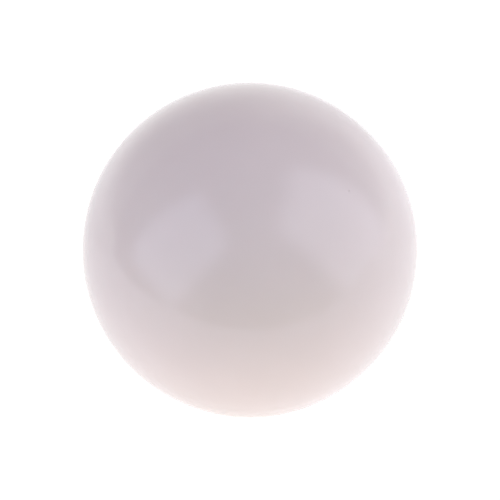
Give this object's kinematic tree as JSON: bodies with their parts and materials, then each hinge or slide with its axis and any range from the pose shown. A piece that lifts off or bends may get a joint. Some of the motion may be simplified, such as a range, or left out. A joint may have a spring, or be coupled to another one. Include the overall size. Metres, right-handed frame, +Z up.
{
  "type": "billiard ball",
  "caption": "Plain white billiard cue ball: a polished resin casing cast round an iron core that a resin pin holds at the centre; rolls freely on a table.",
  "frame": {"origin": "centre of the ball", "axes": "+Z up, along the locating pin from its outer end to the core; -Y faces the picture's camera"},
  "size_m": [0.0572, 0.0572, 0.0572],
  "materials": {
    "white_resin": "polished",
    "grey_iron": "satin",
    "pin_resin": "polished"
  },
  "bodies": {
    "root": {"ball_casing": "white_resin", "iron_core": "grey_iron", "locating_pin": "pin_resin"}
  },
  "joints": []
}
